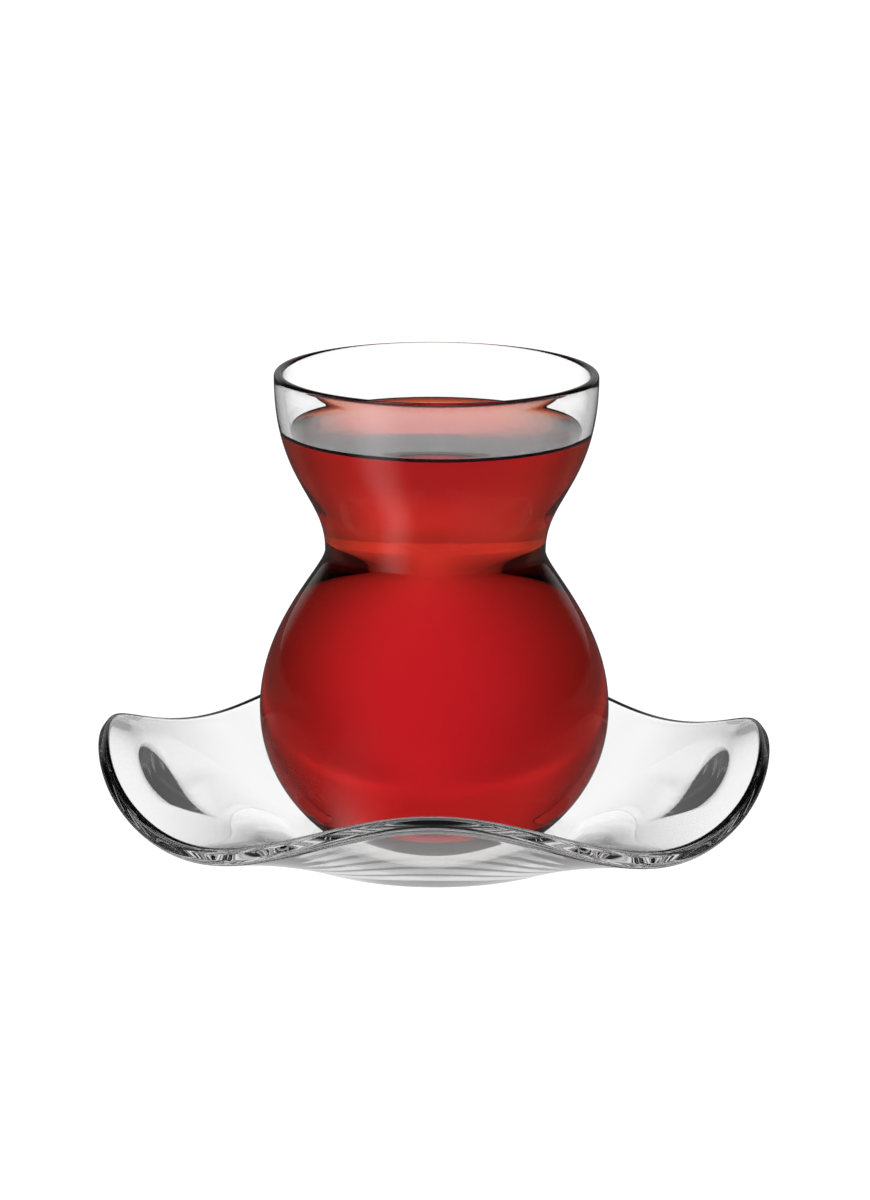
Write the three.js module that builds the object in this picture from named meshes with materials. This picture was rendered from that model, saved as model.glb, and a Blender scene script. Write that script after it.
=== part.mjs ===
// A waisted tea glass, filled with tea, standing on its four-lobed wavy glass saucer.
// Millimetres, +Z up. The origin is on the table, under the middle of the saucer's foot.
import * as THREE from "three";

// Saucer
const RIM_RADIUS = 58.6; // mean plan radius of the middle of the rim's round edge
const RIM_HEIGHT = 16.06; // mean height of the middle of the rim's round edge
const LOBES = 4;
const LOBE_RISE = 4.89; // how far the rim swings above and below its mean height
const SIDE_LOBE_DROP = 0.4; // the side lobes are this much lower, and the front and back ones higher
const LOBE_DRAW_IN = 0.06; // how far a raised lobe is drawn in towards the middle
const LOBE_FLATTENING = 0.32; // how far the plan is flattened at the tip of each lobe and each dip
const LOBE_POWER = 2; // how the lobes grow from the well to the rim
const RIM_THICKNESS = 3.0;
const RIM_BULGE = 0.8; // how far the rim's edge stands out, as a share of half its thickness
const RIM_SQUARENESS = 0.55; // 1 rounds the edge off as a half ellipse, less makes it squarer
const FLOOR_THICKNESS = 3.3;
const WELL_RADIUS = 25.5; // where the flat floor that the glass stands on bends into the wall
const WELL_BEND = 2; // half the width of that rounded bend
const FOOT_RING_INNER_RADIUS = 20;
const RECESS_DEPTH = 0.8; // the underside's shallow recess inside the foot ring
const RECESS_SLOPE = 3; // width of the recess's sloping edge

// Glass, with heights above its own foot
const GLASS_HEIGHT = 83.2;
const FOOT_RADIUS = 19.4;
const FOOT_WALL_ANGLE = 38; // degrees from the floor at which the wall leaves the foot
const BELLY_RADIUS = 31.1;
const BELLY_HEIGHT = 22.4;
const WAIST_RADIUS = 19.5;
const WAIST_HEIGHT = 51.2;
const LIP_RADIUS = 28.5;
const WALL_THICKNESS = 2.0;
const LIP_THICKNESS = 1.6;
const BASE_THICKNESS = 4.5;
const INNER_CORNER = 3.5; // height of the rounding between the inner floor and wall
// Lengths of the tangents that shape the three curves of the wall
const FOOT_TANGENT = 2;
const BELLY_TANGENT_BELOW = 14;
const BELLY_TANGENT_ABOVE = 15.3;
const WAIST_TANGENT_BELOW = 3.8;
const WAIST_TANGENT_ABOVE = 10.4;
const LIP_TANGENT = 18.8;

// Tea
const TEA_BELOW_LIP = 9.8;
const TEA_GAP = 0.3; // clearance between the tea and the inner wall

const GLASS_LIFT = 0.05; // clearance between the saucer's floor and the glass

// Facets
const ROUND_SEGMENTS = 40; // round the glass and the tea
const CURVE_STEPS = 8; // along each curve of the glass wall
const LIP_STEPS = 4;
const SAUCER_SEGMENTS = 64;
const SAUCER_RINGS = 8; // from the well's bend to the rim
const RIM_STEPS = 4;

const clearGlass = new THREE.MeshStandardMaterial({
  color: 0xf2f6f6,
  roughness: 0.04,
  metalness: 0,
  transparent: true,
  opacity: 0.35,
});
const redTea = new THREE.MeshStandardMaterial({ color: 0xa81f1c, roughness: 0.05, metalness: 0 });

const { clamp, lerp, smoothstep, degToRad } = THREE.MathUtils;
const vector = (x, y) => new THREE.Vector2(x, y);

// Whole steps from 1 up to a count, as shares of it.
function steps(count) {
  return Array.from({ length: count }, (_, i) => (i + 1) / count);
}

// The glass's outer wall, from foot to lip. It stands upright at the belly, the waist and the lip.
function wallCurves() {
  const angle = degToRad(FOOT_WALL_ANGLE);
  const lipFoot = GLASS_HEIGHT - LIP_THICKNESS / 2;
  const lowerBelly = new THREE.CubicBezierCurve(
    vector(FOOT_RADIUS, 0),
    vector(FOOT_RADIUS + FOOT_TANGENT * Math.cos(angle), FOOT_TANGENT * Math.sin(angle)),
    vector(BELLY_RADIUS, BELLY_HEIGHT - BELLY_TANGENT_BELOW),
    vector(BELLY_RADIUS, BELLY_HEIGHT),
  );
  const shoulder = new THREE.CubicBezierCurve(
    vector(BELLY_RADIUS, BELLY_HEIGHT),
    vector(BELLY_RADIUS, BELLY_HEIGHT + BELLY_TANGENT_ABOVE),
    vector(WAIST_RADIUS, WAIST_HEIGHT - WAIST_TANGENT_BELOW),
    vector(WAIST_RADIUS, WAIST_HEIGHT),
  );
  const flare = new THREE.CubicBezierCurve(
    vector(WAIST_RADIUS, WAIST_HEIGHT),
    vector(WAIST_RADIUS, WAIST_HEIGHT + WAIST_TANGENT_ABOVE),
    vector(LIP_RADIUS, lipFoot - LIP_TANGENT),
    vector(LIP_RADIUS, lipFoot),
  );
  return [lowerBelly, shoulder, flare];
}

// Points and tangents up the outer wall, each joint between two curves taken once.
function wallSamples() {
  return wallCurves().flatMap((curve, index) => {
    const along = index === 0 ? [0, ...steps(CURVE_STEPS)] : steps(CURVE_STEPS);
    return along.map((t) => ({ point: curve.getPoint(t), tangent: curve.getTangent(t) }));
  });
}

// The inner wall, from lip to floor: the outer wall moved in by the thickness there plus a clearance.
function innerWall(clearance) {
  const floor = BASE_THICKNESS + clearance;
  const wall = wallSamples().map(({ point, tangent }) => {
    const up = smoothstep(point.y, WAIST_HEIGHT, GLASS_HEIGHT);
    const inset = lerp(WALL_THICKNESS, LIP_THICKNESS, up) + clearance;
    return vector(point.x - tangent.y * inset, point.y + tangent.x * inset);
  });
  const upright = wall.filter((point) => point.y > BASE_THICKNESS + INNER_CORNER).reverse();
  const last = upright[upright.length - 1];
  const before = upright[upright.length - 2];
  // The wall's own slope, carried down to the floor, is the corner of the rounding.
  const slope = (before.x - last.x) / (before.y - last.y);
  const corner = vector(last.x - slope * (last.y - floor), floor);
  const rounding = new THREE.QuadraticBezierCurve(last, corner, vector(corner.x - INNER_CORNER, floor));
  return [...upright, ...rounding.getPoints(LIP_STEPS).slice(1), vector(0, floor)];
}

// A closed section, turned round the vertical axis.
function turned(section) {
  return new THREE.LatheGeometry(section, ROUND_SEGMENTS).rotateX(Math.PI / 2);
}

function glassGeometry() {
  const outer = wallSamples().map(({ point }) => point);
  const half = LIP_THICKNESS / 2;
  const lip = steps(LIP_STEPS).slice(0, -1).map((step) => {
    const angle = Math.PI * step;
    return vector(LIP_RADIUS - half + half * Math.cos(angle), GLASS_HEIGHT - half + half * Math.sin(angle));
  });
  return turned([vector(0, 0), ...outer, ...lip, ...innerWall(0)]);
}

function teaGeometry() {
  const level = GLASS_HEIGHT - TEA_BELOW_LIP;
  const wall = innerWall(TEA_GAP);
  const above = wall.filter((point) => point.y >= level).pop();
  const below = wall.filter((point) => point.y < level);
  const share = (level - below[0].y) / (above.y - below[0].y);
  const edge = vector(lerp(below[0].x, above.x, share), level);
  return turned([...below.reverse(), edge, vector(0, level)]);
}

// Nothing up to -bend, the value itself past +bend, and a smooth curve between the two.
function roundedRamp(value, bend) {
  if (value <= -bend) return 0;
  return value >= bend ? value : (value + bend) ** 2 / (4 * bend);
}

// The middle of the saucer's thickness, out at a share of the way from the axis to the rim.
function saucerMiddle(share, angle) {
  const wave = Math.cos(LOBES * angle);
  const edge = RIM_RADIUS - LOBE_DRAW_IN * wave - LOBE_FLATTENING * Math.cos(2 * LOBES * angle);
  const radius = share * edge;
  const out = (radius - WELL_RADIUS) / (edge - WELL_RADIUS);
  const floor = FLOOR_THICKNESS / 2;
  const climb = (RIM_HEIGHT - floor) * roundedRamp(out, WELL_BEND / (edge - WELL_RADIUS));
  const swing = LOBE_RISE * wave - SIDE_LOBE_DROP * Math.cos(2 * angle);
  const lobe = swing * Math.max(0, out) ** LOBE_POWER;
  const place = new THREE.Vector3(radius * Math.cos(angle), radius * Math.sin(angle), floor + climb + lobe);
  return { place, radius, half: lerp(floor, RIM_THICKNESS / 2, clamp(out, 0, 1)) };
}

// The saucer's middle with the directions across and along its thickness there.
function saucerFrame(share, angle) {
  const step = 1e-4;
  const at = saucerMiddle(share, angle);
  const along = saucerMiddle(share + step, angle).place.sub(saucerMiddle(share - step, angle).place);
  const round = new THREE.Vector3(-Math.sin(angle), Math.cos(angle), 0);
  if (share > step) {
    round.copy(saucerMiddle(share, angle + step).place).sub(saucerMiddle(share, angle - step).place);
  }
  const across = new THREE.Vector3().crossVectors(along, round).normalize();
  const outward = new THREE.Vector3().crossVectors(round, across).normalize();
  return { ...at, across, outward };
}

// A sine or cosine, changed so that the round edge drawn with it is squarer.
function squared(value) {
  return Math.sign(value) * Math.abs(value) ** RIM_SQUARENESS;
}

// A point of the saucer's skin. turn runs from 0 on the top, round the rim, to pi on the underside.
function saucerSkin({ share, turn }, angle) {
  const { place, radius, across, outward, half } = saucerFrame(share, angle);
  const recess = 1 - smoothstep(radius, FOOT_RING_INNER_RADIUS - RECESS_SLOPE, FOOT_RING_INNER_RADIUS);
  const below = (1 - Math.cos(turn)) / 2;
  place.addScaledVector(across, half * squared(Math.cos(turn)));
  place.addScaledVector(outward, half * RIM_BULGE * squared(Math.sin(turn)));
  place.z += RECESS_DEPTH * recess * below;
  return place;
}

// Shares of the way to the rim, with a ring on each edge of the recess and of the well's bend.
function saucerShares() {
  const foot = [0, FOOT_RING_INNER_RADIUS - RECESS_SLOPE, FOOT_RING_INNER_RADIUS];
  const bend = [WELL_RADIUS - WELL_BEND, WELL_RADIUS];
  const wall = steps(SAUCER_RINGS).map((step) => lerp(WELL_RADIUS + WELL_BEND, RIM_RADIUS, step));
  const radii = [...foot, ...bend, WELL_RADIUS + WELL_BEND, ...wall];
  return radii.map((radius) => radius / RIM_RADIUS);
}

function saucerGeometry() {
  const shares = saucerShares();
  const under = shares.map((share) => ({ share, turn: Math.PI }));
  const rim = steps(RIM_STEPS).map((step) => ({ share: 1, turn: Math.PI * (1 - step) }));
  const top = shares.slice(0, -1).reverse().map((share) => ({ share, turn: 0 }));
  const section = [...under, ...rim, ...top];
  const geometry = new THREE.LatheGeometry(section.map((_, i) => vector(i, i)), SAUCER_SEGMENTS);
  const position = geometry.getAttribute("position");
  for (let i = 0; i < position.count; i++) {
    const angle = (2 * Math.PI * Math.floor(i / section.length)) / SAUCER_SEGMENTS;
    position.setXYZ(i, ...saucerSkin(section[i % section.length], angle).toArray());
  }
  geometry.computeVertexNormals();
  return geometry;
}

function named(name, geometry, material) {
  const mesh = new THREE.Mesh(geometry, material);
  mesh.name = name;
  return mesh;
}

const set = new THREE.Group();
set.add(named("saucer", saucerGeometry(), clearGlass));

const filledGlass = new THREE.Group();
filledGlass.position.z = FLOOR_THICKNESS + GLASS_LIFT;
filledGlass.add(named("glass", glassGeometry(), clearGlass), named("tea", teaGeometry(), redTea));
set.add(filledGlass);

export default set;
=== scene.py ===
"""A waisted glass of red tea on a clear saucer with a wavy rim, in a white studio. Metres, +Z up."""

import math

import bpy
import numpy as np
from mathutils import Euler, Matrix, Vector


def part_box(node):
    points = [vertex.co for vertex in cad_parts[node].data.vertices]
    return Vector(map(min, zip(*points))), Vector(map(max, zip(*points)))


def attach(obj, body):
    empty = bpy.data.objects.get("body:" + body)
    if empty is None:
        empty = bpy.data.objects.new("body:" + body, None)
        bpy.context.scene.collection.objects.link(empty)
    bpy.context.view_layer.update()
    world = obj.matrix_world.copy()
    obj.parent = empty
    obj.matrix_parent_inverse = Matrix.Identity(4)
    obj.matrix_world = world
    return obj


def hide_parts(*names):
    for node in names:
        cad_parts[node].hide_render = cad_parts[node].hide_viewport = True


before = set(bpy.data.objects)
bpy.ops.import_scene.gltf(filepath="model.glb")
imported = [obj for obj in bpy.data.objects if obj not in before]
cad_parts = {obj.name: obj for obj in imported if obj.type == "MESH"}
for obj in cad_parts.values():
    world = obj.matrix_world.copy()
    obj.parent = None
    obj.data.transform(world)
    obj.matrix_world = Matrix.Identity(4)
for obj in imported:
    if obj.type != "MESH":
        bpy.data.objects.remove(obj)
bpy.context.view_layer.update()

MM = 0.001

# Saucer
RIM_RADIUS = 58.6 * MM  # mean plan radius of the middle of the rim's round edge
RIM_HEIGHT = 16.06 * MM  # mean height of the middle of the rim's round edge
LOBES = 4
LOBE_RISE = 4.89 * MM  # how far the rim swings above and below its mean height
SIDE_LOBE_DROP = 0.4 * MM  # the side lobes are this much lower, and the front and back ones higher
LOBE_DRAW_IN = 0.06 * MM  # how far a raised lobe is drawn in towards the middle
LOBE_FLATTENING = 0.32 * MM  # how far the plan is flattened at the tip of each lobe and each dip
RIM_THICKNESS = 3.0 * MM
RIM_BULGE = 0.8  # how far the rim's edge stands out, as a share of half its thickness
RIM_SQUARENESS = 0.55  # 1 rounds the edge off as a half ellipse, less makes it squarer
FLOOR_THICKNESS = 3.3 * MM
WELL_RADIUS = 25.5 * MM  # where the flat floor bends into the wall
WELL_BEND = 2 * MM  # half the width of that rounded bend
FOOT_RING_INNER_RADIUS = 20 * MM
RECESS_DEPTH = 0.8 * MM  # the underside's shallow recess inside the foot ring
RECESS_SLOPE = 3 * MM
LOBE_BULGE = 1.0 * MM  # how far the underside swells in the middle of each side lobe's wall
LOBE_BULGE_RADIUS = 47 * MM
LOBE_BULGE_REACH = 7 * MM
WELD_DISTANCE = 0.001 * MM
SAUCER_SPOKES = 432  # faces round the saucer
SAUCER_RINGS = 200  # faces along its section, from the middle underneath to the middle on top
FACE_SHARE = 0.42  # share of the section's faces that each of its two sides takes; the rim has the rest

# Glass, with heights above its own foot
GLASS_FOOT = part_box("glass")[0].z
GLASS_HEIGHT = 83.2 * MM
FOOT_RADIUS = 19.4 * MM
FOOT_WALL_ANGLE = math.radians(38)
FOOT_ROUNDING = 1.2 * MM
BELLY_RADIUS = 31.1 * MM
BELLY_HEIGHT = 22.4 * MM
WAIST_RADIUS = 19.5 * MM
WAIST_HEIGHT = 51.2 * MM
LIP_RADIUS = 28.5 * MM
WALL_THICKNESS = 2.0 * MM
LIP_THICKNESS = 1.6 * MM
BASE_THICKNESS = 4.5 * MM
INNER_CORNER = 3.5 * MM
FOOT_TANGENT = 2 * MM
BELLY_TANGENT_BELOW = 14 * MM
BELLY_TANGENT_ABOVE = 15.3 * MM
WAIST_TANGENT_BELOW = 3.8 * MM
WAIST_TANGENT_ABOVE = 10.4 * MM
LIP_TANGENT = 18.8 * MM
CURVE_STEPS = 48  # along each curve of the wall
FOOT_STEPS = 8
LIP_STEPS = 14
ROUND_SEGMENTS = 192

# Tea
TEA_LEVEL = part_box("tea")[1].z - GLASS_FOOT
TEA_BITE = 0.2 * MM  # how far the tea reaches into the wall, so that no air gap shows
MENISCUS_RISE = 0.95 * MM  # how far the tea climbs the wall, up to its level in the frame
MENISCUS_REACH = 0.9 * MM
SURFACE_RINGS = 90  # faces from the edge of the tea's surface to its middle
RING_CROWDING = 1.8  # more than 1 crowds those rings towards the wall
TEA_COLOUR = (0.68, 0.137, 0.0205, 1)
# Painted shade: near its brim the tea turns this darker colour, which stands for the dark line of the
# meniscus.
BRIM_SHADE_COLOUR = (0.25, 0.04, 0.02, 1)
# Two changes with height, in meniscus rises: 0 at the tea's edge on the wall, -1 at its flat middle.
BRIM_SHADE_TURN = (-0.95, -0.5)  # where the colour turns to the brim's painted shade
TOP_TURN = (-1.03, -1.01)  # where the wetted side gives way to the mirroring top
DEPTH_COLOUR = (0.933, 0, 0.933, 1)  # what the depth of the tea lets through: it takes out green
DEPTH_DENSITY = 42  # how fast it does so, for each metre
TEA_INDEX = 1.333

# Surfaces
WHITE = (1, 1, 1, 1)
GLASS_INDEX = 1.52
WETTED_AND_SHADED_SHINE = 0.05  # how much is left of the face-on reflection where tea touches the glass; on the outside of the belly, which tea doesn't touch, the same dimming is painted shade over its reflections
SMUDGE_SCALE = 90
SMUDGE_DETAIL = 3
SMUDGE_ROUGHNESS = 0.015
FLOW_SCALE = 40
FLOW_DETAIL = 1
FLOW_DEPTH = 0.02 * MM  # how uneven the surfaces are

# Camera
VIEW_TILT = math.radians(14.12)
VIEW_ROLL = math.radians(0.4)
VIEW_DISTANCE = 0.77
VIEW_AIM = Vector((0, 0, 0.0453))
LENS = 130.3
SENSOR_WIDTH = 36
CLIP_START = 0.05

# Light. A pair is where a smooth change begins and ends. An azimuth is in radians from straight behind.
CLEAR_LIGHT = 1.12  # seen directly or through clear glass only
WALL_SURFACES = 2  # the two sides of one wall
TEA_SURFACES = 4  # light that crosses more surfaces than this comes through the tea
BELLY_SURFACES = 6  # light that crosses more than this also comes through the saucer, under the belly

# Light behind the tea
STRIP_AZIMUTH = 0.2
STRIP_HALF_WIDTH = 0.17
STRIP_GAIN = 0.2
SIDES_BEGIN = (0.25, 0.65)
SIDES_END = (0.9, 1.3)
SIDES_DARKNESS = 0.42

# Light from the studio round the floor, with heights and depths of its directions from -1 to 1
FLARE_LIGHT = 0.7
BELLY_LIGHT = 0.9
LOW_FLARE_UP = 0.08  # what lies higher than this shows low in the flare
LOW_FLARE_AZIMUTH = 0.05
LOW_FLARE_HALF_WIDTH = 0.35
LOW_FLARE_GAIN = 3.5
BEHIND = (0.7, 0.92)
BEFORE = (-0.7, -0.3)
HIGH = (0.45, 0.7)
OVERHEAD = (0.4, 0.65)
MIRRORED_AROUND = 0.02  # mirrored light is seen by one reflection
MIRRORED_BEFORE = 0.3
MIRRORED_BEHIND = 0.4
MIRRORED_OFF_TEA = 1.3
ONE_WALL_GAIN = 0.25
GUIDED_AROUND = 0.02  # guided light is seen by several reflections inside the glass
GUIDED_OVERHEAD = 0.75

# Light from the floor, with places in metres from the middle of the saucer
FLOOR_HALF = 6.0
FLOOR_DROP = 0.1 * MM
STREAK_SLOPE = 0.022  # the bright streak behind the tea, as the way sideways for each metre back
STREAK_HALF_WIDTH = 0.105
STREAK_SIDES_END = (5, 9)  # in half widths from the middle of the streak
STREAK_DARKNESS_NEAR = 0.74
STREAK_DARKNESS_FAR = 0.47
STREAK_FADE = (0.07, 0.13)
FRONT_LIGHT = 0.85
FRONT_EDGE = (-0.02, 0.02)
FAR_FLOOR = (0.11, 0.4)
BACK_FLOOR = (0.06, 0.12)
BACK_FLOOR_LIGHT = 0.8
NEAR_FLOOR = (0.043, 0.052)
NEAR_FLOOR_LIGHT = 0.75
NEAR_FLOOR_SHIFT = 0.015  # how much further it goes behind the middle
NEAR_FLOOR_TURN = (-0.02, 0)
SOFTBOX_AZIMUTH = -0.75  # from straight in front
SOFTBOX_HALF_WIDTH = 0.42
SOFTBOX_LIGHT = 0.75
FLOOR_MIRRORED = 0.06
GUIDED_FRONT = 0.75
GUIDED_BACK = 0.03
GUIDED_TURN = (-0.015, 0.01)


class Value:
    """A node's output. Sums on it add Math nodes to its tree."""

    def __init__(self, nodes, socket):
        self.nodes = nodes
        self.socket = socket

    def out(self, name):
        """Another output of the same node."""
        return Value(self.nodes, self.socket.node.outputs[name])

    def __add__(self, other):
        return self.nodes.math("ADD", self, other)

    def __radd__(self, other):
        return self.nodes.math("ADD", other, self)

    def __sub__(self, other):
        return self.nodes.math("SUBTRACT", self, other)

    def __rsub__(self, other):
        return self.nodes.math("SUBTRACT", other, self)

    def __mul__(self, other):
        return self.nodes.math("MULTIPLY", self, other)

    def __rmul__(self, other):
        return self.nodes.math("MULTIPLY", other, self)

    def __truediv__(self, other):
        return self.nodes.math("DIVIDE", self, other)

    def __rtruediv__(self, other):
        return self.nodes.math("DIVIDE", other, self)

    def __pow__(self, other):
        return self.nodes.math("POWER", self, other)


class Nodes:
    """Adds nodes to one tree, with their settings, values and links."""

    def __init__(self, tree):
        self.tree = tree

    def add(self, kind, settings=None, sockets=None, output=0):
        node = self.tree.nodes.new(kind)
        for name, setting in (settings or {}).items():
            setattr(node, name, setting)
        for name, value in (sockets or {}).items():
            if isinstance(value, Value):
                self.tree.links.new(value.socket, node.inputs[name])
            else:
                node.inputs[name].default_value = value
        return Value(self, node.outputs[output]) if node.outputs else None

    def math(self, operation, *values):
        return self.add("ShaderNodeMath", {"operation": operation}, dict(enumerate(values)))

    def vector(self, operation, *values):
        return self.add("ShaderNodeVectorMath", {"operation": operation}, dict(enumerate(values)))

    def scaled(self, vector, factor):
        return self.add("ShaderNodeVectorMath", {"operation": "SCALE"}, {0: vector, "Scale": factor})

    def clamp(self, value):
        return self.add("ShaderNodeClamp", {}, {0: value})

    def smoothstep(self, value, low, high):
        """0 below low, 1 above high and a smooth change between them."""
        settings = {"interpolation_type": "SMOOTHSTEP"}
        return self.add("ShaderNodeMapRange", settings, {0: value, 1: low, 2: high})


def curve(*controls, steps=CURVE_STEPS):
    """Points along the Bézier curve with these control points."""
    along = np.linspace(0, 1, steps + 1)[:, None]
    points = [np.array(control, float) for control in controls]
    while len(points) > 1:
        points = [start + along * (end - start) for start, end in zip(points, points[1:])]
    return points[0]


def smoothstep(value, low, high):
    share = np.clip((value - low) / (high - low), 0, 1)
    return share * share * (3 - 2 * share)


def outer_wall():
    """The glass's outer wall from foot to lip, as radius and height."""
    lip_foot = GLASS_HEIGHT - LIP_THICKNESS / 2
    leaving_foot = FOOT_TANGENT * np.array((math.cos(FOOT_WALL_ANGLE), math.sin(FOOT_WALL_ANGLE)))
    lower_belly = curve(
        (FOOT_RADIUS, 0),
        leaving_foot + (FOOT_RADIUS, 0),
        (BELLY_RADIUS, BELLY_HEIGHT - BELLY_TANGENT_BELOW),
        (BELLY_RADIUS, BELLY_HEIGHT),
    )
    shoulder = curve(
        (BELLY_RADIUS, BELLY_HEIGHT),
        (BELLY_RADIUS, BELLY_HEIGHT + BELLY_TANGENT_ABOVE),
        (WAIST_RADIUS, WAIST_HEIGHT - WAIST_TANGENT_BELOW),
        (WAIST_RADIUS, WAIST_HEIGHT),
    )
    flare = curve(
        (WAIST_RADIUS, WAIST_HEIGHT),
        (WAIST_RADIUS, WAIST_HEIGHT + WAIST_TANGENT_ABOVE),
        (LIP_RADIUS, lip_foot - LIP_TANGENT),
        (LIP_RADIUS, lip_foot),
    )
    return np.concatenate([lower_belly, shoulder[1:], flare[1:]])


def inner_wall(bite=0):
    """The glass's inner wall from lip to axis, moved into the glass by a bite."""
    outer = outer_wall()
    along = np.gradient(outer, axis=0)
    along /= np.linalg.norm(along, axis=1)[:, None]
    thinning = smoothstep(outer[:, 1], WAIST_HEIGHT, GLASS_HEIGHT)
    thickness = WALL_THICKNESS + (LIP_THICKNESS - WALL_THICKNESS) * thinning - bite
    inner = outer + thickness[:, None] * np.stack([-along[:, 1], along[:, 0]], axis=1)
    floor = BASE_THICKNESS - bite
    upright = inner[inner[:, 1] > BASE_THICKNESS + INNER_CORNER][::-1]
    last, before = upright[-1], upright[-2]
    slope = (before[0] - last[0]) / (before[1] - last[1])
    corner = np.array((last[0] - slope * (last[1] - floor), floor))
    rounding = curve(last, corner, corner - (INNER_CORNER, 0))
    return np.concatenate([upright, rounding[1:], [(0, floor)]])


def glass_outline():
    wall = outer_wall()
    foot = np.array((FOOT_RADIUS, 0))
    wall = wall[np.linalg.norm(wall - foot, axis=1) > FOOT_ROUNDING]
    rounding = curve(foot - (FOOT_ROUNDING, 0), foot, wall[0], steps=FOOT_STEPS)
    half = LIP_THICKNESS / 2
    turn = np.linspace(0, math.pi, LIP_STEPS + 1)[1:-1, None]
    lip = (LIP_RADIUS - half, GLASS_HEIGHT - half) + half * np.hstack([np.cos(turn), np.sin(turn)])
    return np.concatenate([[(0, 0)], rounding[:-1], wall, lip, inner_wall()])


def tea_outline():
    wall = inner_wall(TEA_BITE)[::-1]
    below = wall[wall[:, 1] < TEA_LEVEL]
    above = wall[len(below)]
    share = (TEA_LEVEL - below[-1, 1]) / (above[1] - below[-1, 1])
    edge = below[-1, 0] + share * (above[0] - below[-1, 0])
    from_wall = edge * np.linspace(0, 1, SURFACE_RINGS + 1) ** RING_CROWDING
    height = TEA_LEVEL - MENISCUS_RISE * (1 - np.exp(-from_wall / MENISCUS_REACH))
    return np.concatenate([below, np.stack([edge - from_wall, height], axis=1)])


def turned(name, outline, material):
    """A solid turned round the vertical axis from an outline that starts and ends on it."""
    rings = outline[1:-1]
    count = len(rings)
    angles = 2 * math.pi * np.arange(ROUND_SEGMENTS) / ROUND_SEGMENTS
    x = np.outer(rings[:, 0], np.cos(angles)).ravel()
    y = np.outer(rings[:, 0], np.sin(angles)).ravel()
    z = np.repeat(rings[:, 1], ROUND_SEGMENTS)
    vertices = np.stack([x, y, z], axis=1).tolist()
    vertices += [(0, 0, outline[0, 1]), (0, 0, outline[-1, 1])]
    first_pole = count * ROUND_SEGMENTS
    faces = []
    for segment in range(ROUND_SEGMENTS):
        following = (segment + 1) % ROUND_SEGMENTS
        faces.append((first_pole, following, segment))
        for ring in range(count - 1):
            low, high = ring * ROUND_SEGMENTS, (ring + 1) * ROUND_SEGMENTS
            faces.append((low + segment, low + following, high + following, high + segment))
        last = (count - 1) * ROUND_SEGMENTS
        faces.append((first_pole + 1, last + segment, last + following))
    mesh = bpy.data.meshes.new(name)
    mesh.from_pydata(vertices, [], faces)
    mesh.shade_smooth()
    mesh.materials.append(material)
    return placed(name, mesh)


def placed(name, mesh):
    piece = bpy.data.objects.new(name, mesh)
    bpy.context.scene.collection.objects.link(piece)
    return piece


def lifted(outline, height):
    """An outline with heights from the table instead of from the glass's foot."""
    return outline + (0, height)


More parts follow.
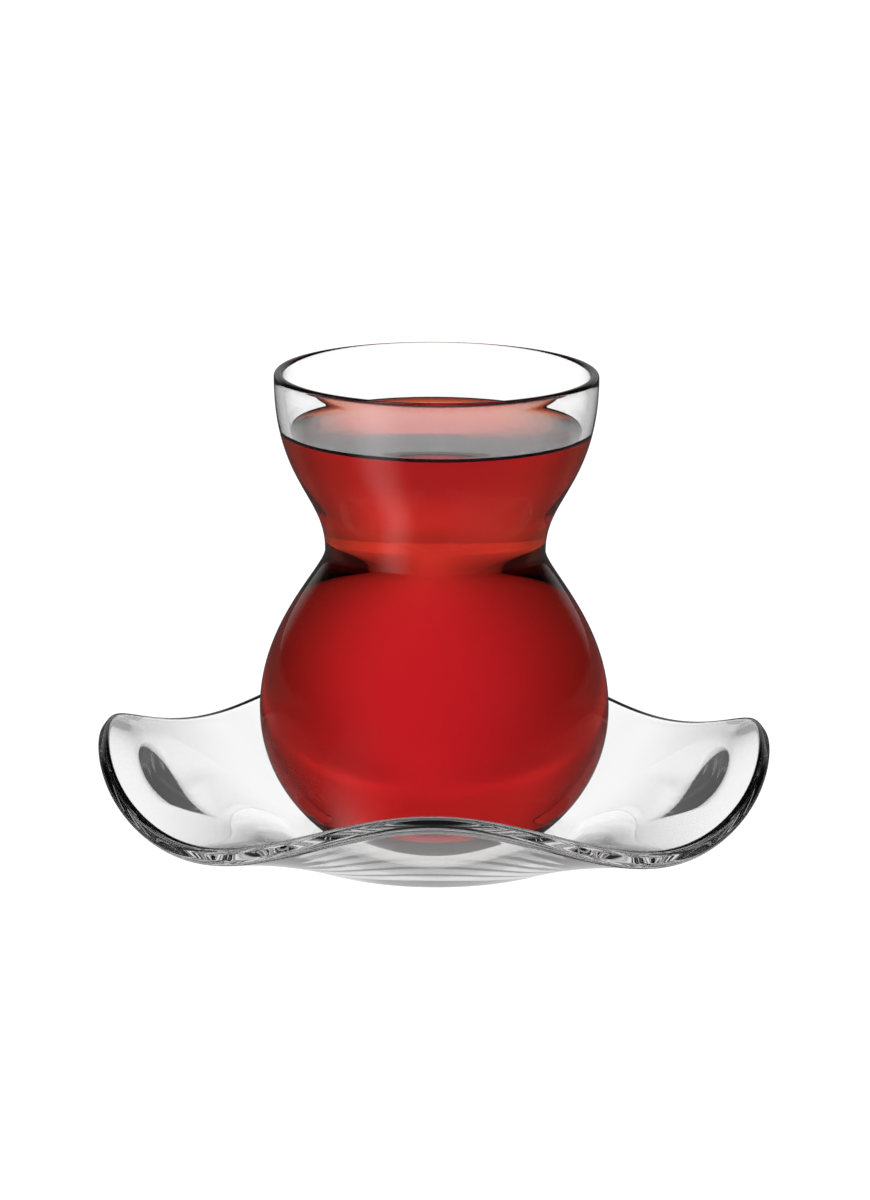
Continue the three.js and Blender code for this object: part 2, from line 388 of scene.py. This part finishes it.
def saucer_tree(sizes, material):
    """A node tree that turns a flat grid into the saucer's skin, with an input for each size."""
    tree = bpy.data.node_groups.new("wavy saucer", "GeometryNodeTree")
    for name in sizes:
        tree.interface.new_socket(name, in_out="INPUT", socket_type="NodeSocketFloat")
    tree.interface.new_socket("Geometry", in_out="OUTPUT", socket_type="NodeSocketGeometry")
    nodes = Nodes(tree)
    inputs = nodes.add("NodeGroupInput")
    size = {name: inputs.out(name) for name in sizes}

    grid = nodes.add(
        "GeometryNodeMeshGrid",
        sockets={"Vertices X": SAUCER_SPOKES + 1, "Vertices Y": SAUCER_RINGS + 1, "Size X": 1, "Size Y": 1},
    )
    flat = nodes.add("ShaderNodeSeparateXYZ", {}, {0: nodes.add("GeometryNodeInputPosition")})
    angle = (flat.out("X") + 0.5) * (2 * math.pi)
    section = flat.out("Y") + 0.5  # 0 in the middle underneath, 1 in the middle on top
    from_middle = nodes.math("MINIMUM", section, 1 - section)
    share = nodes.clamp(from_middle / FACE_SHARE)
    turn = math.pi * (1 - nodes.clamp((section - FACE_SHARE) / (1 - 2 * FACE_SHARE)))

    wave = nodes.math("COSINE", LOBES * angle)
    flattening = size["Lobe flattening"] * nodes.math("COSINE", 2 * LOBES * angle)
    edge = size["Rim radius"] - size["Lobe draw-in"] * wave - flattening
    radius = share * edge
    wall_width = edge - size["Well radius"]
    out = (radius - size["Well radius"]) / wall_width
    up_wall = nodes.math("MAXIMUM", out, 0)
    bend = size["Well bend"] / wall_width
    floor = size["Floor thickness"] * 0.5
    climb = size["Rim height"] - floor

    # The wall's ramp is level up to the bend, straight past it, and a parabola between the two.
    steepness = nodes.clamp((out + bend) / (2 * bend))
    ramp = bend * steepness * steepness + nodes.math("MAXIMUM", out - bend, 0)
    lobe = size["Lobe rise"] * wave - size["Side lobe drop"] * nodes.math("COSINE", 2 * angle)
    height = floor + climb * ramp + lobe * up_wall * up_wall
    slope_out = (climb * steepness + 2 * lobe * up_wall) / wall_width
    lobe_swing = 2 * size["Side lobe drop"] * nodes.math("SINE", 2 * angle)
    lobe_swing = lobe_swing - LOBES * size["Lobe rise"] * nodes.math("SINE", LOBES * angle)
    slope_round = lobe_swing * up_wall * up_wall / nodes.math("MAXIMUM", radius, MM)

    outwards = nodes.add("ShaderNodeCombineXYZ", {}, {
        "X": nodes.math("COSINE", angle), "Y": nodes.math("SINE", angle), "Z": slope_out,
    })
    sideways = nodes.add("ShaderNodeCombineXYZ", {}, {
        "X": -1 * nodes.math("SINE", angle), "Y": nodes.math("COSINE", angle), "Z": slope_round,
    })
    across = nodes.vector("NORMALIZE", nodes.vector("CROSS_PRODUCT", outwards, sideways))
    along = nodes.vector("NORMALIZE", nodes.vector("CROSS_PRODUCT", sideways, across))
    thinning = nodes.clamp(out)
    half = floor + (size["Rim thickness"] * 0.5 - floor) * thinning

    underneath = (1 - nodes.math("COSINE", turn)) * 0.5
    recess_edge = size["Foot ring inner radius"]
    outside_recess = nodes.smoothstep(radius, recess_edge - size["Recess slope"], recess_edge)
    recess = size["Recess depth"] * (1 - outside_recess) * underneath
    middle = nodes.add("ShaderNodeCombineXYZ", {}, {
        "X": radius * nodes.math("COSINE", angle),
        "Y": radius * nodes.math("SINE", angle),
        "Z": height + recess,
    })
    in_lobe = nodes.math("MAXIMUM", wave, 0) * nodes.math("MAXIMUM", nodes.math("COSINE", 2 * angle), 0)
    from_bulge = nodes.math("ABSOLUTE", radius - size["Lobe bulge radius"])
    bulge = size["Lobe bulge"] * (1 - nodes.smoothstep(from_bulge, 0, size["Lobe bulge reach"]))
    bulge = bulge * in_lobe * underneath
    side = nodes.math("COSINE", turn)
    through = nodes.math("SIGN", side) * nodes.math("ABSOLUTE", side) ** RIM_SQUARENESS
    edge_bulge = RIM_BULGE * nodes.math("ABSOLUTE", nodes.math("SINE", turn)) ** RIM_SQUARENESS
    skin = nodes.vector("ADD", middle, nodes.scaled(across, half * through - bulge))
    skin = nodes.vector("ADD", skin, nodes.scaled(along, half * edge_bulge))

    shaped = nodes.add("GeometryNodeSetPosition", {}, {"Geometry": grid, "Position": skin})
    welded = nodes.add("GeometryNodeMergeByDistance", {}, {"Geometry": shaped, "Distance": WELD_DISTANCE})
    smooth = nodes.add("GeometryNodeSetShadeSmooth", {}, {"Geometry": welded, "Shade Smooth": True})
    real = nodes.add("GeometryNodeRealizeInstances", {}, {"Geometry": smooth})
    painted = nodes.add("GeometryNodeSetMaterial", {}, {"Geometry": real, "Material": material})
    nodes.add("NodeGroupOutput", {}, {"Geometry": painted})
    return tree


def wavy_saucer(material):
    sizes = {
        "Rim radius": RIM_RADIUS,
        "Rim height": RIM_HEIGHT,
        "Lobe rise": LOBE_RISE,
        "Side lobe drop": SIDE_LOBE_DROP,
        "Lobe draw-in": LOBE_DRAW_IN,
        "Lobe flattening": LOBE_FLATTENING,
        "Rim thickness": RIM_THICKNESS,
        "Floor thickness": FLOOR_THICKNESS,
        "Well radius": WELL_RADIUS,
        "Well bend": WELL_BEND,
        "Foot ring inner radius": FOOT_RING_INNER_RADIUS,
        "Recess depth": RECESS_DEPTH,
        "Recess slope": RECESS_SLOPE,
        "Lobe bulge": LOBE_BULGE,
        "Lobe bulge radius": LOBE_BULGE_RADIUS,
        "Lobe bulge reach": LOBE_BULGE_REACH,
    }
    tree = saucer_tree(sizes, material)
    maker = placed("saucer maker", bpy.data.meshes.new("saucer maker"))
    modifier = maker.modifiers.new("wavy saucer", "NODES")
    modifier.node_group = tree
    for item in tree.interface.items_tree:
        if item.in_out == "INPUT":
            modifier[item.identifier] = sizes[item.name]
    depsgraph = bpy.context.evaluated_depsgraph_get()
    mesh = bpy.data.meshes.new_from_object(maker.evaluated_get(depsgraph), depsgraph=depsgraph)
    mesh.name = "wavy_saucer"
    bpy.data.objects.remove(maker)
    return placed("wavy_saucer", mesh)


def material_nodes(name):
    material = bpy.data.materials.new(name)
    material.use_nodes = True
    material.node_tree.nodes.clear()
    return material, Nodes(material.node_tree)


def noise(nodes, place, scale, detail):
    return nodes.add("ShaderNodeTexNoise", {}, {"Vector": place, "Scale": scale, "Detail": detail})


def polished(nodes, tint, ior, shine):
    """A clear, polished surface with slight smudges. Shine scales what it reflects face on."""
    place = nodes.add("ShaderNodeTexCoord", output="Object")
    smudges = noise(nodes, place, SMUDGE_SCALE, SMUDGE_DETAIL)
    flow = noise(nodes, place, FLOW_SCALE, FLOW_DETAIL)
    return nodes.add("ShaderNodeBsdfPrincipled", {}, {
        "Base Color": tint,
        "Roughness": SMUDGE_ROUGHNESS * smudges,
        "IOR": ior,
        "Transmission Weight": 1,
        "Specular Tint": (shine, shine, shine, 1),
        "Normal": nodes.add("ShaderNodeBump", {}, {"Strength": 1, "Distance": FLOW_DEPTH, "Height": flow}),
    })


def clear_glass(name, shine):
    material, nodes = material_nodes(name)
    nodes.add("ShaderNodeOutputMaterial", {}, {"Surface": polished(nodes, WHITE, GLASS_INDEX, shine)})
    return material


def red_tea():
    """Tea that mirrors on its top only, because its sides touch the glass. Its brim is painted darker:
    painted shade that stands for the dark line of the meniscus.
    """
    material, nodes = material_nodes("red tea")
    place = nodes.add("ShaderNodeSeparateXYZ", {}, {0: nodes.add("ShaderNodeTexCoord", output="Object")})
    height = (place.out("Z") - (GLASS_FOOT + TEA_LEVEL)) / MENISCUS_RISE
    # Painted shade: the tea's colour darkens towards its brim, for the meniscus's dark line.
    painted_brim_shade = nodes.smoothstep(height, *BRIM_SHADE_TURN)
    # A Mix node has several sockets of each name. Its colours are inputs 6 and 7 and output 2.
    colours = {0: painted_brim_shade, 6: TEA_COLOUR, 7: BRIM_SHADE_COLOUR}
    tint = nodes.add("ShaderNodeMix", {"data_type": "RGBA"}, colours, output=2)
    side = polished(nodes, tint, TEA_INDEX, WETTED_AND_SHADED_SHINE)
    top = polished(nodes, tint, TEA_INDEX, 1)
    on_top = nodes.smoothstep(height, *TOP_TURN)
    body = nodes.add("ShaderNodeVolumeAbsorption", {}, {"Color": DEPTH_COLOUR, "Density": DEPTH_DENSITY})
    nodes.add("ShaderNodeOutputMaterial", {}, {
        "Surface": nodes.add("ShaderNodeMixShader", {}, {0: on_top, 1: side, 2: top}),
        "Volume": body,
    })
    return material


def hump(nodes, value, middle, half_width):
    """1 at the middle, falling smoothly to 0 at half a width away."""
    return 1 - nodes.smoothstep(nodes.math("ABSOLUTE", value - middle), 0, half_width)


def mixed(low, high, share):
    return low + (high - low) * share


def crossed_more_than(nodes, surfaces):
    """1 for light that has gone through more surfaces than this, otherwise 0."""
    return nodes.clamp(nodes.add("ShaderNodeLightPath", output="Transmission Depth") - surfaces)


def came_through_tea(nodes):
    return crossed_more_than(nodes, TEA_SURFACES)


def light_by_path(nodes, clear, filled, mirrored, guided):
    """One strength each for light seen directly or through clear glass, through the filled glass,
    by one reflection, and by several reflections inside the glass."""
    reflections = nodes.add("ShaderNodeLightPath", output="Glossy Depth")
    once = nodes.clamp(reflections)
    again = nodes.clamp(reflections - 1)
    return mixed(mixed(mixed(clear, filled, came_through_tea(nodes)), mirrored, once), guided, again)


def behind_tea(nodes, azimuth):
    """Strength of the light behind the tea: a soft bright strip, and darker to both sides."""
    strip = hump(nodes, azimuth, STRIP_AZIMUTH, STRIP_HALF_WIDTH)
    aside = nodes.math("ABSOLUTE", azimuth)
    dark_sides = nodes.smoothstep(aside, *SIDES_BEGIN) * (1 - nodes.smoothstep(aside, *SIDES_END))
    return (1 + STRIP_GAIN * strip) * (1 - SIDES_DARKNESS * dark_sides)


def studio():
    """White light from all round, with a strength for each way it can take to the viewer."""
    world = bpy.data.worlds.new("studio")
    bpy.context.scene.world = world
    world.use_nodes = True
    world.node_tree.nodes.clear()
    nodes = Nodes(world.node_tree)
    direction = nodes.add("ShaderNodeTexCoord", output="Generated")
    toward = nodes.add("ShaderNodeSeparateXYZ", {}, {0: direction})
    up = toward.out("Z")
    azimuth = nodes.math("ARCTAN2", toward.out("X"), toward.out("Y"))

    under_belly = crossed_more_than(nodes, BELLY_SURFACES)
    low_middle = hump(nodes, azimuth, LOW_FLARE_AZIMUTH, LOW_FLARE_HALF_WIDTH)
    low_flare = nodes.clamp(up - LOW_FLARE_UP) * (1 + LOW_FLARE_GAIN * low_middle)
    filled = behind_tea(nodes, azimuth) * (1 + low_flare) * mixed(FLARE_LIGHT, BELLY_LIGHT, under_belly)

    behind = nodes.smoothstep(toward.out("Y"), *BEHIND)
    before = 1 - nodes.smoothstep(toward.out("Y"), *BEFORE)
    off_tea = crossed_more_than(nodes, WALL_SURFACES)
    in_one_wall = crossed_more_than(nodes, 0) - off_tea
    low_behind = behind * (1 - nodes.smoothstep(up, *HIGH)) * (1 + ONE_WALL_GAIN * in_one_wall)
    from_behind = mixed(MIRRORED_BEHIND, MIRRORED_OFF_TEA, off_tea)
    mirrored = mixed(MIRRORED_AROUND, MIRRORED_BEFORE, before * (1 - in_one_wall))
    mirrored = mixed(mirrored, from_behind, low_behind)

    overhead = nodes.smoothstep(up, *OVERHEAD) * (1 - came_through_tea(nodes))
    guided = mixed(GUIDED_AROUND, GUIDED_OVERHEAD, overhead)
    light = light_by_path(nodes, CLEAR_LIGHT, filled, mirrored, guided)
    background = nodes.add("ShaderNodeBackground", {}, {"Color": WHITE, "Strength": light})
    nodes.add("ShaderNodeOutputWorld", {}, {"Surface": background})


def pale_floor():
    """A white floor that glows in the same way as the studio round it."""
    material, nodes = material_nodes("pale floor")
    place = nodes.add("ShaderNodeSeparateXYZ", {}, {0: nodes.add("ShaderNodeTexCoord", output="Object")})
    across, depth = place.out("X"), place.out("Y")
    distance = nodes.math("SQRT", across * across + depth * depth)

    aside = (across / nodes.math("MAXIMUM", depth, MM) - STREAK_SLOPE) / STREAK_HALF_WIDTH
    dark_sides = 1 - 1 / (1 + aside * aside)
    dark_sides = dark_sides * (1 - nodes.smoothstep(nodes.math("ABSOLUTE", aside), *STREAK_SIDES_END))
    fading = nodes.smoothstep(distance, *STREAK_FADE)
    darkness = mixed(STREAK_DARKNESS_NEAR, STREAK_DARKNESS_FAR, fading)
    filled = mixed(FRONT_LIGHT, 1, nodes.smoothstep(depth, *FRONT_EDGE)) - darkness * dark_sides
    azimuth = nodes.math("ARCTAN2", across, depth)
    filled = mixed(filled, behind_tea(nodes, azimuth), nodes.smoothstep(distance, *FAR_FLOOR))

    from_inside = crossed_more_than(nodes, 0)
    at_back = nodes.smoothstep(depth, *BACK_FLOOR) * from_inside
    shift = NEAR_FLOOR_SHIFT * nodes.smoothstep(depth, *NEAR_FLOOR_TURN)
    near = 1 - nodes.smoothstep(distance - shift, *NEAR_FLOOR)
    from_front = nodes.math("ARCTAN2", across, -1 * depth)
    softbox = hump(nodes, from_front, SOFTBOX_AZIMUTH, SOFTBOX_HALF_WIDTH)
    mirrored = mixed(FLOOR_MIRRORED + SOFTBOX_LIGHT * softbox, BACK_FLOOR_LIGHT, at_back)
    mirrored = mixed(mirrored, NEAR_FLOOR_LIGHT, near * (1 - from_inside))

    guided = mixed(GUIDED_FRONT, GUIDED_BACK, nodes.smoothstep(depth, *GUIDED_TURN))
    light = light_by_path(nodes, CLEAR_LIGHT, filled, mirrored, guided)
    glow = nodes.add("ShaderNodeEmission", {}, {"Color": WHITE, "Strength": light})
    nodes.add("ShaderNodeOutputMaterial", {}, {"Surface": glow})
    corners = [(-1, -1), (1, -1), (1, 1), (-1, 1)]
    mesh = bpy.data.meshes.new("pale_floor")
    vertices = [(x * FLOOR_HALF, y * FLOOR_HALF, -FLOOR_DROP) for x, y in corners]
    mesh.from_pydata(vertices, [], [(0, 1, 2, 3)])
    mesh.materials.append(material)
    floor = placed("pale_floor", mesh)


def camera():
    data = bpy.data.cameras.new("camera")
    data.lens = LENS
    data.sensor_width = SENSOR_WIDTH
    data.clip_start = CLIP_START
    viewer = bpy.data.objects.new("camera", data)
    back = Vector((0, -math.cos(VIEW_TILT), math.sin(VIEW_TILT)))
    viewer.location = VIEW_AIM + VIEW_DISTANCE * back
    upright = Euler((math.pi / 2 - VIEW_TILT, 0, 0)).to_matrix()
    viewer.rotation_euler = (upright @ Matrix.Rotation(VIEW_ROLL, 3, "Z")).to_euler()
    bpy.context.scene.collection.objects.link(viewer)
    bpy.context.scene.camera = viewer


drinking_glass = clear_glass("drinking glass", 1)
# Clear glass with its reflection dimmed: wetting inside the belly, and painted shade over the reflections
# on its outside.
wetted_and_shaded_glass = clear_glass("filled glass", WETTED_AND_SHADED_SHINE)
saucer_glass = clear_glass("saucer glass", 1)

saucer = wavy_saucer(saucer_glass)
glass = turned("waisted_glass", lifted(glass_outline(), GLASS_FOOT), drinking_glass)
tea = turned("tea_fill", lifted(tea_outline(), GLASS_FOOT), red_tea())

# The belly takes the filled glass inside and out: wetted where the tea touches it inside, while on the
# outside the dimmed reflection is painted shade.
glass.data.materials.append(wetted_and_shaded_glass)
for face in glass.data.polygons:
    if BASE_THICKNESS / 2 < face.center.z - GLASS_FOOT < WAIST_HEIGHT:
        face.material_index = 1

for piece, node, slot in (
    (saucer, "saucer", "saucer_glass"),
    (glass, "glass", "drinking_glass"),
    (tea, "tea", "tea"),
):
    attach(piece, "root")
    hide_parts(node)

studio()
pale_floor()
camera()

settings = bpy.context.scene
settings.view_settings.view_transform = "Standard"
settings.cycles.max_bounces = 32
settings.cycles.transmission_bounces = 32
settings.cycles.glossy_bounces = 16
